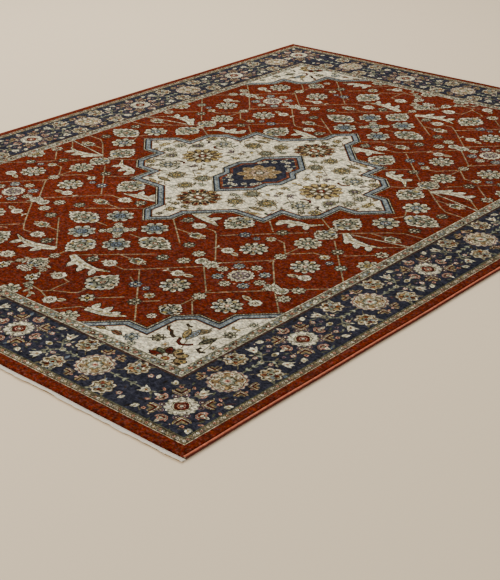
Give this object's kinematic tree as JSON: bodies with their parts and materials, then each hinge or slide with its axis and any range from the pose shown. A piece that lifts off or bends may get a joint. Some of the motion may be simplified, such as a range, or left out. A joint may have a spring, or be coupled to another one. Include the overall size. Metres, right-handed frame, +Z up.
{
  "type": "area rug",
  "caption": "Rectangular pile rug with a stepped medallion, corner pieces and flowered borders, serged long sides and tape-bound ends.",
  "frame": {"origin": "middle of the underside, on the floor", "axes": "+X along the rug, +Y across it, +Z up out of the pile"},
  "size_m": [3.3, 2.39, 0.011],
  "materials": {
    "ground_yarn": "woven jute and cotton",
    "latex_back": "thin matt latex over the weave",
    "tape_cotton": "undyed woven cotton tape",
    "sewing_thread": "spun thread",
    "cord_cotton": "laid cotton cord",
    "serging_yarn": "red overcast yarn with a pink lead",
    "red_pile": "heathered rust red cut pile",
    "olive_pile": "olive and cream cut pile",
    "navy_pile": "heathered navy cut pile",
    "sage_pile": "sage and cream cut pile",
    "blue_pile": "blue grey cut pile",
    "cream_pile": "cream cut pile",
    "label_cloth": "blank woven label"
  },
  "bodies": {
    "root": {"ground_weave": "ground_yarn", "back_coating": "latex_back", "end_tape_near": "tape_cotton", "end_tape_far": "tape_cotton", "tape_thread_near": "sewing_thread", "tape_thread_far": "sewing_thread", "side_cord_left": "cord_cotton", "side_cord_right": "cord_cotton", "side_serging_left": "serging_yarn", "side_serging_right": "serging_yarn", "pile_edge_band": "red_pile", "pile_outer_guard": "olive_pile", "pile_main_border": "navy_pile", "pile_inner_guard": "sage_pile", "pile_field": "red_pile", "pile_corner_outlines": "blue_pile", "pile_corners": "cream_pile", "pile_medallion_outline": "blue_pile", "pile_medallion": "cream_pile", "pile_centre_outline": "blue_pile", "pile_centre": "navy_pile", "care_label": "label_cloth", "label_thread": "sewing_thread"}
  },
  "joints": []
}
